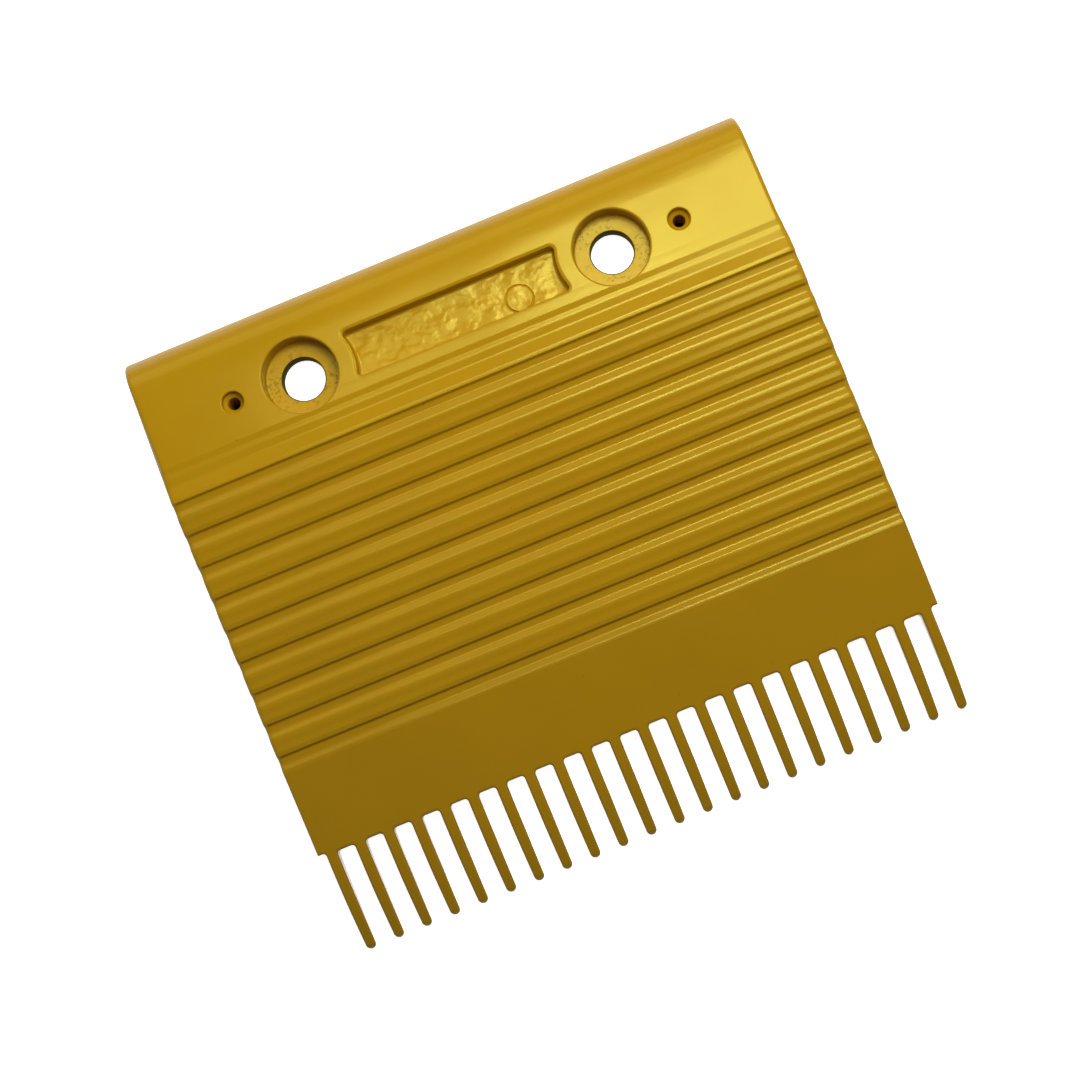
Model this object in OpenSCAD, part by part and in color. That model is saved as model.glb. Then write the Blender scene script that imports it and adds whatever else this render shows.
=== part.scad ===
// Escalator comb plate: one die-cast segment with a fixing land for two screws,
// a ribbed tread that slopes down to a smooth toe, and a comb of thin teeth.
// The origin is midway between the two screws, on the mounting underside.
// +X runs across the comb, -Y points to the tips of the teeth and +Z points up.

/* [Teeth] */
// Number of teeth
tooth_count = 22; // [18:1:24]
// Distance from one tooth to the next
tooth_pitch = 9.068; // [8.6:0.001:9.6]
// Thickness of a tooth at its root
tooth_w = 3.45; // [3:0.05:4.2]
// Thickness of a tooth at its tip
tooth_tip_w = 3.1; // [2.4:0.05:3.4]
// Free length of a tooth in front of the slot roots
tooth_len = 30.5; // [24:0.1:36]
// Length at the tip over which a tooth gets thinner
tooth_taper_len = 14; // [6:0.5:20]
// Slope of a tooth's upper edge just before the tip
tooth_tip_angle = 25; // [18:0.5:30]
// Radius of a tooth's tip seen from the side
tooth_tip_r = 2.2; // [1.8:0.1:3]
// Depth of a tooth at the slot roots
tooth_root_depth = 9; // [8:0.1:12]
// Radius of the two corners at the bottom of each slot
slot_corner_r = 1; // [0.5:0.1:1.6]
/* [Plan] */
// Centre of the outermost tooth to the side of the toe's front
side_margin = 4.1; // [3.6:0.05:4.4]
// How much further the ribbed tread stands out at each side than the toe's front
tread_stand_out = 0.25; // [0:0.05:0.4]
// How much further in the fixing land lies at each side than the toe's front
land_set_in = 0.3; // [0:0.05:0.6]
// Rear edge to the slot roots
deck_len = 158.8; // [156:0.1:170]
// Distance by which the end shoulders stop short of the slot roots
shoulder_short = 0.7; // [0:0.1:1.5]

/* [Fixing land] */
// Height of the land above the mounting underside
land_h = 12; // [11.6:0.1:14]
// Rear edge to the fine step in front of the land
land_len = 37.1; // [36.8:0.1:40]
// Thickness of the land's wall
land_t = 8; // [7.2:0.1:9]
// Radius of the rounded nose along the rear edge
nose_r = 10; // [7:0.1:11]
// Thickness of the rear wall under the nose
rear_wall_t = 5; // [4:0.1:8]
// Radius of the land's side edges
land_edge_r = 2.5; // [1:0.1:3]
// Radius of the land's two rear corners seen from above
land_corner_r = 1.5; // [0.5:0.1:4]

/* [Screw holes] */
// Distance between the two fixing screws
screw_spacing = 99.75; // [92:0.05:108]
// Rear edge to the line of the screws
screw_line = 25; // [23:0.1:25]
// Diameter of a screw's through hole
screw_hole_d = 13; // [9:0.1:15]
// Diameter of the counterbore for a screw's head
counterbore_d = 23; // [20:0.1:23.4]
// Depth of the counterbore
counterbore_depth = 7; // [5:0.1:7.1]
// Width of the chamfer round a counterbore
counterbore_chamfer = 0.6; // [0.2:0.1:1]
// Diameter of the pad around a screw hole on the underside
screw_pad_d = 24; // [20:0.1:24.4]

/* [Stepped side holes] */
// Distance between the two stepped holes
side_hole_spacing = 143; // [138:0.1:148]
// Diameter of the wide upper step
side_step_d = 6.5; // [5:0.1:8]
// Depth of the wide upper step
side_step_depth = 2.5; // [2:0.1:6.5]
// Diameter of the narrow lower hole
side_hole_d = 3.6; // [3:0.1:4.5]
// Width of the chamfer round the upper step
side_chamfer = 0.3; // [0.1:0.1:0.6]
// Diameter of the pad around a stepped hole on the underside
side_pad_d = 10; // [8:0.1:12]

/* [Sunk panel] */
// Half of the panel's width from front to rear
panel_half = 8; // [6:0.1:9]
// Wall left between the panel and a counterbore
panel_web = 4.9; // [4:0.1:8]
// Depth of the panel's floor below the land
panel_depth = 4.5; // [2:0.1:5.5]
// Radius of the panel's corners
panel_corner_r = 2; // [1:0.1:3]
// Diameter of the round ejector mark on the panel's floor
ejector_d = 8; // [5:0.1:9]
// Centre of the ejector mark to the right of the panel's centre
ejector_x = 19; // [0:0.5:22]
// Centre of the ejector mark in front of the panel's centre
ejector_y = 3; // [0:0.1:3.5]
// Height of the ejector mark
ejector_h = 0.3; // [0.1:0.05:0.6]

/* [Tread] */
// Number of full ribs
rib_count = 9; // [7:1:9]
// Distance from one rib to the next
rib_pitch = 10; // [8.5:0.1:10.2]
// Height of the first rib's rear edge above the mounting underside
crest_h = 12.2; // [11.8:0.1:14]
// How far the first rib's top falls towards its front edge
crest_drop = 0.2; // [0:0.05:0.4]
// Slope of the tread below the crest
tread_angle = 9.8; // [8:0.1:10.4]
// Slope of the smooth toe
toe_angle = 8.5; // [6:0.1:9.5]
// Depth of a groove at its rear, square to the mounting plane
groove_depth = 1.6; // [1.4:0.1:2]
// Depth of the faint first groove in front of the land
first_groove_depth = 0.5; // [0.2:0.05:0.6]
// Length of a groove from the riser's foot to the next rib
groove_len = 4.2; // [3:0.1:4.6]
// Length over which a rib's front face falls
riser_len = 1; // [0.8:0.1:1.6]
// Length over which the next rib rises
rise_len = 1.4; // [0.7:0.1:1.5]
// Radius of the edges of a rib
rib_edge_r = 0.7; // [0.3:0.1:0.9]
// Radius of the tread's and the toe's side edges
side_edge_r = 1.2; // [0.6:0.1:1.3]

/* [Underside] */
// Thickness of the tread's and the toe's wall
skin_t = 5; // [4:0.1:5.5]
// Thickness of the side walls
side_wall_t = 4; // [3:0.1:6]
// Thickness of the stiffening ribs
stiffener_t = 3.5; // [2.5:0.1:5]
// Number of stiffening ribs that run from front to rear
stiffener_count = 4; // [2:1:6]
// Thickness of the two cross ribs behind the fins
cross_rib_t = 3.5; // [2.5:0.1:5]
// Rear edge to the middle of the rear cross rib
rear_cross_at = 52; // [50:0.5:56]
// Rear edge to the middle of the second cross rib
middle_cross_at = 68; // [62:0.5:72]
// Depth of the front cross rib below the toe's wall
front_rib_depth = 3.5; // [2:0.1:5]
// Thickness of the front cross rib
front_rib_t = 4; // [3:0.1:5]

/* [Hidden] */
$fn = 64;
// How far a cutting shape reaches past what it cuts
cut = 1;
// Steps in a rounded corner of an outline, in a tooth's upper arc and round its tip
corner_steps = 4;
arc_steps = 12;
tip_steps = 8;
paint = [0.70, 0.53, 0.04];

comb_w = (tooth_count - 1) * tooth_pitch + 2 * side_margin;
tread_w = comb_w + 2 * tread_stand_out;
land_w = comb_w - 2 * land_set_in;
slot_w = tooth_pitch - tooth_w;

// Places along the comb are distances u from the rear edge
rear_y = screw_line;
function groove_middle(riser) = riser + (riser_len + groove_len - rise_len) / 2;
function groove_end(riser) = riser + riser_len / 2 + groove_len;
first_riser = land_len + rib_pitch;
last_riser = first_riser + (rib_count - 1) * rib_pitch;
first_rib_u = groove_end(land_len);
crest_u = first_riser - riser_len / 2;
crest_lean = atan2(crest_drop, crest_u - first_rib_u);
land_seam = groove_middle(land_len);
toe_seam = groove_middle(last_riser);
toe_start = groove_end(last_riser);
tooth_seam = deck_len + slot_corner_r;
shoulder_u = deck_len - shoulder_short;
tip_u = deck_len + tooth_len;

toe_narrowing = atan2(tread_stand_out, shoulder_u - toe_seam);
function toe_half(u) = comb_w / 2 + tan(toe_narrowing) * (shoulder_u - u);

function crest_z(u) = crest_h - crest_drop - tan(tread_angle) * (u - crest_u);
function toe_z(u) = crest_z(toe_start) - tan(toe_angle) * (u - toe_start);
skin_bend = crest_u + 1;
function skin_under(u) = (u > toe_start ? toe_z(u) : crest_z(max(u, skin_bend))) - skin_t;
skin_ground = skin_bend + skin_under(skin_bend) / tan(tread_angle);
land_under = land_h - land_t;
first_floor = land_h - first_groove_depth;
counterbore_floor = land_h - counterbore_depth;

// A tooth's upper edge is an arc that leaves the toe at the toe's own slope
tooth_arc_r = (tip_u - tooth_tip_r * (1 - sin(tooth_tip_angle)) - tooth_seam)
              / (sin(tooth_tip_angle) - sin(toe_angle));
function tooth_arc(a) = [
    tooth_seam + tooth_arc_r * (sin(a) - sin(toe_angle)),
    toe_z(tooth_seam) - tooth_arc_r * (cos(toe_angle) - cos(a))];
tip_centre = tooth_arc(tooth_tip_angle)
             - tooth_tip_r * [sin(tooth_tip_angle), cos(tooth_tip_angle)];
root_under = [deck_len, toe_z(deck_len) - tooth_root_depth];
// A height under everything
below = root_under[1] - tooth_len;
// Slope of the straight lower edge, which touches the round tip
lower_run = tip_centre - root_under;
lower_angle = atan2(lower_run[1], lower_run[0]) - asin(tooth_tip_r / norm(lower_run));
// From the end of the upper arc round to the lower edge
function tooth_tip(k) =
    let (from = 90 - tooth_tip_angle, to = lower_angle - 90,
         a = from + (to - from) * k / tip_steps)
    tip_centre + tooth_tip_r * [cos(a), sin(a)];

panel_end_r = counterbore_d / 2 + panel_web;
panel_corner_y = panel_half - panel_corner_r;
panel_corner_x = screw_spacing / 2
                 - sqrt(pow(panel_end_r + panel_corner_r, 2) - pow(panel_corner_y, 2));
panel_end_angle = atan2(panel_corner_y, screw_spacing / 2 - panel_corner_x);
panel_end_x = screw_spacing / 2 - panel_end_r * cos(panel_end_angle);
panel_end_y = panel_end_r * sin(panel_end_angle);

stiffener_gap = (land_w - 2 * side_wall_t) / (stiffener_count + 1);
function stiffener_x(i) = -land_w / 2 + side_wall_t + i * stiffener_gap;
cross_ribs = [rear_cross_at, middle_cross_at];
function lap_z(at) = skin_under(at) / 2;
function stiffener_name(i) = str("stiffening_rib_", i);
function tooth_x(i) = (i - (tooth_count + 1) / 2) * tooth_pitch;
function tooth_name(i) = str("tooth_", i < 10 ? "0" : "", i);

// The corner at q between p and s, rounded with radius r
function unit(v) = v / norm(v);
function bearing(v) = atan2(v[1], v[0]);
function wrap(a) = a > 180 ? a - 360 : a < -180 ? a + 360 : a;
function corner(p, q, s, r) =
    let (a = unit(p - q),
         b = unit(s - q),
         half = acos(a * b) / 2,
         c = q + unit(a + b) * r / sin(half),
         from = bearing(q + a * r / tan(half) - c),
         turn = wrap(bearing(q + b * r / tan(half) - c) - from))
    [for (k = [0:corner_steps])
        c + r * [cos(from + turn * k / corner_steps), sin(from + turn * k / corner_steps)]];
function flatten(lists) = [for (l = lists) each l];
function last(list) = len(list) - 1;
function rounded(pts, r) =
    flatten([for (k = [1:last(pts) - 1]) corner(pts[k - 1], pts[k], pts[k + 1], r)]);

// An outline of distance from the rear edge and height, drawn out across the comb
module across(width) {
    rotate([90, 0, 90])
        linear_extrude(width, center = true)
            translate([rear_y, 0])
                mirror([1, 0])
                    children();
}

// An outline of distance to the right and from the rear edge, drawn upwards
module upright(low, high) {
    translate([0, rear_y, low])
        linear_extrude(high - low)
            mirror([0, 1])
                children();
}

// What is taken off both long side edges of a slope to round them
module side_edge_cut(width, r, u, z, angle, length, narrowing = 0) {
    for (side = [-1, 1])
        translate([side * (width / 2 - r), rear_y - u, z])
            rotate([angle, 0, -side * narrowing])
                translate([0, -length - cut, -r])
                    difference() {
                        translate([side > 0 ? 0 : -2 * r, 0, 0])
                            cube([2 * r, length + 2 * cut, 2 * r]);
                        translate([0, length + 3 * cut, 0])
                            rotate([90, 0, 0])
                                cylinder(r = r, h = length + 4 * cut);
                    }
}

module land_outline() {
    difference() {
        union() {
            intersection() {
                translate([nose_r, land_h - nose_r]) circle(nose_r);
                square([nose_r, land_h]);
            }
            translate([nose_r, 0]) square([land_seam - nose_r, land_h]);
            square([nose_r, land_h - nose_r]);
        }
        translate([rear_wall_t, -cut]) square([land_seam, land_under + cut]);
        polygon([
            [land_len - riser_len / 2, land_h + cut],
            [land_len - riser_len / 2, land_h],
            [land_len + riser_len / 2, first_floor],
            [land_seam + cut, first_floor],
            [land_seam + cut, land_h + cut]]);
    }
}

// The panel's ends curve round the counterbores beside it
module panel_outline() {
    square([2 * panel_corner_x, 2 * panel_half], center = true);
    for (side = [-1, 1]) {
        for (end = [-1, 1])
            translate([side * panel_corner_x, end * panel_corner_y]) circle(panel_corner_r);
        difference() {
            polygon([
                [0, panel_corner_y],
                [side * panel_corner_x, panel_corner_y],
                [side * panel_end_x, panel_end_y],
                [side * panel_end_x, -panel_end_y],
                [side * panel_corner_x, -panel_corner_y],
                [0, -panel_corner_y]]);
            translate([side * screw_spacing / 2, 0]) circle(panel_end_r);
        }
    }
}

// A through hole with a wider step and a chamfer at its top
module stepped_way(x, hole_d, step_d, depth, chamfer) {
    translate([x, 0, -cut]) cylinder(d = hole_d, h = land_h + 2 * cut);
    translate([x, 0, land_h - depth]) cylinder(d = step_d, h = depth + cut);
    translate([x, 0, land_h - chamfer])
        cylinder(r1 = step_d / 2, r2 = step_d / 2 + chamfer + cut, h = chamfer + cut);
}

module screw_hole(side) {
    stepped_way(side * screw_spacing / 2, screw_hole_d, counterbore_d, counterbore_depth,
                counterbore_chamfer);
}

module stepped_hole(side) {
    stepped_way(side * side_hole_spacing / 2, side_hole_d, side_step_d, side_step_depth,
                side_chamfer);
}

// The land from above, with rounded rear corners
module land_plan() {
    inner = land_w / 2 - land_corner_r;
    translate([-inner, 0]) square([2 * inner, land_seam]);
    translate([-land_w / 2, land_corner_r]) square([land_w, land_seam - land_corner_r]);
    for (side = [-1, 1]) translate([side * inner, land_corner_r]) circle(land_corner_r);
}

module mounting_land() {
    color(paint) {
        difference() {
            intersection() {
                across(land_w) land_outline();
                upright(0, land_h) land_plan();
            }
            side_edge_cut(land_w, land_edge_r, 0, land_h, 0, land_seam);
            for (side = [-1, 1]) {
                screw_hole(side);
                stepped_hole(side);
            }
            translate([0, 0, land_h - panel_depth])
                linear_extrude(panel_depth + cut) panel_outline();
        }
        translate([ejector_x, -ejector_y, land_h - panel_depth])
            cylinder(d = ejector_d, h = ejector_h);
    }
}

// The corners of the groove in front of a riser, from one rib's edge to the next
function groove(riser) =
    let (front = groove_end(riser),
         edge_z = crest_z(riser - riser_len / 2))
    [[riser - riser_len / 2, edge_z],
     [riser + riser_len / 2, edge_z - groove_depth],
     [front - rise_len, edge_z - groove_depth],
     [front, crest_z(front)]];

// The tread and the toe from the side, between two distances from the rear edge
module deck_outline(from, to) {
    rear = land_seam - cut;
    front = tooth_seam + cut;
    upper = concat(
        [[rear, first_floor],
         [first_rib_u - rise_len, first_floor],
         [first_rib_u, crest_h]],
        flatten([for (k = [0:rib_count - 1]) groove(first_riser + k * rib_pitch)]),
        [[front, toe_z(front)]]);
    intersection() {
        polygon(concat(
            [upper[0]],
            rounded(upper, rib_edge_r),
            [upper[last(upper)],
             [front, skin_under(front)],
             [toe_start, skin_under(toe_start)],
             [skin_bend, skin_under(skin_bend)],
             [rear, skin_under(skin_bend)]]));
        translate([from, skin_under(front) - cut])
            square([to - from, crest_h + 2 * cut - skin_under(front)]);
    }
}

module ribbed_tread() {
    slope_len = (toe_seam - crest_u) / cos(tread_angle);
    color(paint)
        difference() {
            across(tread_w) deck_outline(land_seam, toe_seam);
            side_edge_cut(tread_w, side_edge_r, first_rib_u, crest_h, crest_lean,
                          crest_u - first_rib_u);
            side_edge_cut(tread_w, side_edge_r, crest_u, crest_z(crest_u), tread_angle,
                          slope_len);
        }
}

// One slot between two teeth, with rounded corners at its root
module slot_outline(x) {
    translate([x - slot_w / 2, deck_len + slot_corner_r]) square([slot_w, tooth_len]);
    translate([x - slot_w / 2 + slot_corner_r, deck_len])
        square([slot_w - 2 * slot_corner_r, tooth_len]);
    for (side = [-1, 1])
        translate([x + side * (slot_w / 2 - slot_corner_r), deck_len + slot_corner_r])
            circle(slot_corner_r);
}

// The notch beside the outermost tooth, in front of the end shoulder
module shoulder_outline(side) {
    inner = tooth_x(tooth_count) + tooth_w / 2;
    mirror([side > 0 ? 0 : 1, 0]) {
        translate([inner + slot_corner_r, shoulder_u]) square([2 * side_margin, tooth_len]);
        translate([inner, shoulder_u + slot_corner_r]) square([2 * side_margin, tooth_len]);
        translate([inner + slot_corner_r, shoulder_u + slot_corner_r]) circle(slot_corner_r);
    }
}

// The toe from above, which gets narrower from the tread to the shoulders
module toe_plan() {
    rear = toe_seam - cut;
    front = tooth_seam + cut;
    polygon([
        [-toe_half(rear), rear],
        [toe_half(rear), rear],
        [toe_half(front), front],
        [-toe_half(front), front]]);
}

module toe_ramp() {
    slope_len = (tooth_seam - toe_start) / cos(toe_angle);
    color(paint)
        difference() {
            intersection() {
                across(tread_w) deck_outline(toe_seam, tooth_seam);
                upright(below, land_h) toe_plan();
            }
            side_edge_cut(2 * toe_half(toe_start), side_edge_r, toe_start,
                          crest_z(toe_start), toe_angle, slope_len, toe_narrowing);
            upright(below, land_h) {
                for (i = [1:tooth_count - 1]) slot_outline(tooth_x(i) + tooth_pitch / 2);
                for (side = [-1, 1]) shoulder_outline(side);
            }
        }
}

// A tooth from the side: the free blade and the fin that runs back under the toe
module tooth_side() {
    polygon(concat(
        [[tooth_seam, skin_under(tooth_seam)]],
        [for (k = [0:arc_steps - 1])
            tooth_arc(toe_angle + (tooth_tip_angle - toe_angle) * k / arc_steps)],
        [for (k = [0:tip_steps]) tooth_tip(k)],
        [root_under,
         [toe_seam, skin_under(toe_seam) - front_rib_depth],
         [toe_seam, skin_under(toe_seam)],
         [toe_start, skin_under(toe_start)]]));
}

// A tooth from above, thinner towards its round tip
module tooth_plan() {
    tip_end = tip_u - tooth_tip_w / 2;
    polygon([
        [-tooth_w / 2, toe_seam - cut],
        [tooth_w / 2, toe_seam - cut],
        [tooth_w / 2, tip_end - tooth_taper_len],
        [tooth_tip_w / 2, tip_end],
        [-tooth_tip_w / 2, tip_end],
        [-tooth_w / 2, tip_end - tooth_taper_len]]);
    translate([0, tip_end]) circle(tooth_tip_w / 2);
}

module tooth(i) {
    color(paint)
        translate([tooth_x(i), 0, 0])
            intersection() {
                across(2 * tooth_w) tooth_side();
                upright(below, land_h) tooth_plan();
            }
}

module screw_pad(side) {
    color(paint)
        difference() {
            translate([side * screw_spacing / 2, 0, 0])
                cylinder(d = screw_pad_d, h = land_under);
            screw_hole(side);
        }
}

module pin_pad(side) {
    color(paint)
        difference() {
            translate([side * side_hole_spacing / 2, 0, 0])
                cylinder(d = side_pad_d, h = land_under);
            stepped_hole(side);
        }
}

module side_wall(side) {
    color(paint)
        translate([side * (land_w - side_wall_t) / 2, 0, 0])
            across(side_wall_t)
                polygon([
                    [rear_wall_t, 0],
                    [rear_wall_t, land_under],
                    [land_seam, land_under],
                    [land_seam, skin_under(skin_bend)],
                    [skin_bend, skin_under(skin_bend)],
                    [skin_ground, 0]]);
}

// Stiffening ribs and cross ribs meet halfway up, each notched for the other
module stiffening_rib(i) {
    color(paint)
        translate([stiffener_x(i), 0, 0])
            across(stiffener_t)
                difference() {
                    polygon([
                        [land_seam, 0],
                        [land_seam, skin_under(skin_bend)],
                        [skin_bend, skin_under(skin_bend)],
                        [skin_ground, 0]]);
                    for (at = cross_ribs)
                        translate([at - cross_rib_t / 2, -cut])
                            square([cross_rib_t, lap_z(at) + cut]);
                }
}

module cross_rib(at) {
    rear = at - cross_rib_t / 2;
    front = at + cross_rib_t / 2;
    color(paint)
        difference() {
            across(land_w - 2 * side_wall_t)
                polygon([
                    [rear, 0],
                    [rear, skin_under(rear)],
                    [front, skin_under(front)],
                    [front, 0]]);
            for (i = [1:stiffener_count])
                translate([stiffener_x(i) - stiffener_t / 2, rear_y - front - cut, lap_z(at)])
                    cube([stiffener_t, cross_rib_t + 2 * cut, land_h]);
        }
}

module front_cross_rib() {
    rear = toe_seam - front_rib_t;
    color(paint)
        across(comb_w)
            polygon([
                [rear, skin_under(rear)],
                [toe_seam, skin_under(toe_seam)],
                [toe_seam, skin_under(toe_seam) - front_rib_depth],
                [rear, skin_under(rear) - front_rib_depth]]);
}

mounting_land();
ribbed_tread();
toe_ramp();
screw_pad(-1);  // left_screw_pad
screw_pad(1);  // right_screw_pad
pin_pad(-1);  // left_pin_pad
pin_pad(1);  // right_pin_pad
side_wall(-1);  // left_side_wall
side_wall(1);  // right_side_wall
cross_rib(rear_cross_at);  // rear_cross_rib
cross_rib(middle_cross_at);  // middle_cross_rib
front_cross_rib();
for (i = [1:stiffener_count])
    stiffening_rib(i);
for (i = [1:tooth_count])
    tooth(i);
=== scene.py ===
"""The escalator comb plate as one glossy yellow casting, laid on a white floor and seen from above."""

import math

import bmesh
import bpy
from bpy.props import FloatProperty, FloatVectorProperty, IntProperty, PointerProperty
from mathutils import Matrix, Vector


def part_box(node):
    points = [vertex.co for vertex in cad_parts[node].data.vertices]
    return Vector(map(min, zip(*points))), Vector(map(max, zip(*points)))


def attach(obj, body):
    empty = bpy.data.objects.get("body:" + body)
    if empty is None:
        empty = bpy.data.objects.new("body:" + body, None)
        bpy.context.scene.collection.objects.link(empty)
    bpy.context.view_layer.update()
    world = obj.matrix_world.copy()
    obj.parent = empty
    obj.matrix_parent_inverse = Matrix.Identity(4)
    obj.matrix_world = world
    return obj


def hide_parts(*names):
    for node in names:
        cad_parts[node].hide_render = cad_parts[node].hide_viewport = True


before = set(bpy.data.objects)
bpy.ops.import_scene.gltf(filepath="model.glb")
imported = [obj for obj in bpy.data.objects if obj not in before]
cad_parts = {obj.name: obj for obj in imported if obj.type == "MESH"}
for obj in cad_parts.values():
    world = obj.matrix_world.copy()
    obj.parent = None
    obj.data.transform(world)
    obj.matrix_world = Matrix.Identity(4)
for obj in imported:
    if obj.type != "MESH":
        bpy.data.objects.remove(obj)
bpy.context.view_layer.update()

bl_info = {
    "name": "Escalator Comb Plate",
    "version": (1, 0, 0),
    "blender": (4, 5, 0),
    "location": "3D Viewport > Sidebar > Comb Plate",
    "description": "Adds a die-cast comb plate segment, its powder coat and a photo stage",
    "category": "Add Mesh",
}

MM = 0.001

# Places taken from the frame: distances along the plate are measured from its rear edge
LAND, TREAD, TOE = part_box("mounting_land"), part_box("ribbed_tread"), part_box("toe_ramp")
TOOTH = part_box("tooth_01")
TEETH = [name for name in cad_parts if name.startswith("tooth_")]
REAR_Y = LAND[1].y
LAND_TOP = LAND[1].z
LAND_SEAM = REAR_Y - TREAD[1].y
TOE_SEAM = REAR_Y - TOE[1].y
TOOTH_SEAM = REAR_Y - TOE[0].y
TIP = REAR_Y - TOOTH[0].y
LAND_HALF = LAND[1].x
TREAD_HALF = TREAD[1].x
TOE_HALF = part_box("front_cross_rib")[1].x

# Other places along the plate: the end of the flat land, the two places where the deck gets wider,
# and the start of the painted falloff, a painted shade that darkens the coat towards the front
FLAT_END = 28 * MM
WIDENING = (37 * MM, 41 * MM)
PAINTED_FALLOFF_START = 47 * MM

# The rib under the toe's seam: its thickness, and how far it hangs below the wall
FRONT_RIB = 4 * MM
FRONT_RIB_DEPTH = 3.5 * MM

# The round ejector mark in the panel
MARK_PLACE = (19 * MM, -3 * MM)
MARK_RADIUS = 4 * MM

# How far a cutter stands out below the underside, and above a surface that it opens
BELOW = 1 * MM
ABOVE = 2 * MM
# How far a rounded rim ends above the surface, so that no sliver is left on it
LIFT = 0.01 * MM
# In the middle of a quarter round, the distance to each of its sides as a share of its radius
MIDWAY = 0.3

# Rows of points, in mm: inwards from each side, forwards from the nose across the crown, and
# forwards from the rear edge across the flat land
SIDE_ROWS = (0, 0.04, 0.15, 0.35, 0.65, 1.1, 1.7, 2.5, 3.5)
CROWN_ROWS = (1, 2, 3, 4, 5)
LAND_ROWS = (17, 20, 23, 26)

# The corners from the land to the first riser: place and height above the land in mm, and radius in mm
FIRST_GROOVE = (
    (31.9, 0, 3), (32.9, -0.02, 3), (33.9, 0, 3),  # a faint line across the land
    (36.2, 0, 2.5), (38, -0.33, 2.5),  # the fine step
    (39.4, -0.27, 6), (41.9, -0.6, 4),  # the floor, which falls towards the front
    (45.7, -0.12, 3),  # the rise to the first rib
)
# The corners of a full groove: place from its riser in mm, height as a share of the groove's depth,
# and radius in mm
GROOVE = (
    (-3.3, -0.05, 8),  # the rib's slight hollow
    (-1.5, 0.08, 2),  # the soft bead behind its edge
    (-0.35, -0.14, 0.4),  # its edge
    (0.25, -0.95, 0.6),  # the foot of the riser
    (2.2, -1, 2.2),  # the deepest place of the floor
    (3.95, -0.16, 1.5),  # the rise to the next rib
    (5.0, 0.06, 5),  # the start of the next rib
)

# The coat's noises: size of the bumps, detail and roughness
NOISES = {
    "cloud": (14 * MM, 2, 0.5),
    "patches": (3.5 * MM, 2, 0.5),
    "specks": (0.45 * MM, 3, 0.6),
    "gloss": (5 * MM, 2, 0.5),
    "peel": (0.9 * MM, 2, 0.5),
    "runs": (2.2 * MM, 2, 0.5),
    "wave": (5 * MM, 1, 0.5),
    "lumps": (2.8 * MM, 2.5, 0.5),
    "grit": (0.35 * MM, 3, 0.6),
}
# The noise values between which a patchy mask rises from 0 to 1
RISES = {"cloud": (0.3, 0.75), "patches": (0.42, 0.6), "specks": (0.5, 0.62), "pits": (0.02, 0.035)}
# How much the runs and the wave are squeezed along x, y and z, which draws them out sideways
DRAWN_OUT = (0.3, 1, 1)
# Where the other masks change: depths below the land, and distances from a hole's wall, from the
# start of the painted falloff and from the rear edge
SUNK_DEPTHS = (0.6 * MM, 0.1 * MM)
UNDER_RIM_DEPTHS = (0.4 * MM, 1.5 * MM)
WELL_EDGE = (0.4 * MM, 0.9 * MM)
NEAR_WALL = 0.3 * MM
BORE_EDGE = 0.35 * MM
PAINTED_FALLOFF_EDGE = 1 * MM
NOSE_EDGE = (4 * MM, 1 * MM)
# The panel's mask: half of its length and of its width
PANEL_MASK = (36 * MM, 9.2 * MM)
# Painted shade towards the front: what the tread, and again the toe, keep of the coat's red, green and blue
PAINTED_FALLOFF = (0.9, 0.885, 0.83, 1)
WHITE, GREY, BLACK = (1, 1, 1, 1), (0.8, 0.8, 0.8, 1), (0, 0, 0, 1)

# The lamps: place, width and height in metres, and brightness
LAMPS = {
    "key": ((0.165, 0.10, 0.52), 0.13, 0.20, 14.5),
    "key_front": ((0.165, -0.05, 0.52), 0.13, 0.10, 7),
    "key_left": ((0.06, 0.10, 0.52), 0.08, 0.14, 13),
    "left": ((-0.05, 0.09, 0.52), 0.12, 0.12, 5),
    "rear": ((0, 0.30, 0.32), 0.50, 0.25, 1.4),
    "right": ((0.36, -0.06, 0.45), 0.20, 0.20, 2),
}
LAMPS_AIM = Vector((0, -0.06, 0))
# The light that the white surroundings give to the plate
WORLD_LIGHT = 0.04

# The photograph's camera: where it is and what it looks at, its turn in degrees, its sensor and lens
# in mm, and the nearest distance that it shows
CAMERA_PLACE = Vector((8.98, -160.7, 647.5)) * MM
CAMERA_TARGET = Vector((-2.56, -71.42, 0)) * MM
CAMERA_ROLL = 22.11
SENSOR, LENS = 36, 73.33
NEAREST = 10 * MM


def size(name, default, description):
    """A length in metres that shows in the scene's own unit."""
    return FloatProperty(name=name, description=description, default=default, min=0,
                         subtype="DISTANCE", unit="LENGTH")


def slope(name, degrees, description):
    """An angle, given in degrees."""
    return FloatProperty(name=name, description=description, default=math.radians(degrees),
                         subtype="ANGLE", unit="ROTATION")


def tint(name, default, description):
    """A colour as linear red, green and blue."""
    return FloatVectorProperty(name=name, description=description, default=default, size=3,
                               min=0, max=1, subtype="COLOR")


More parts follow.
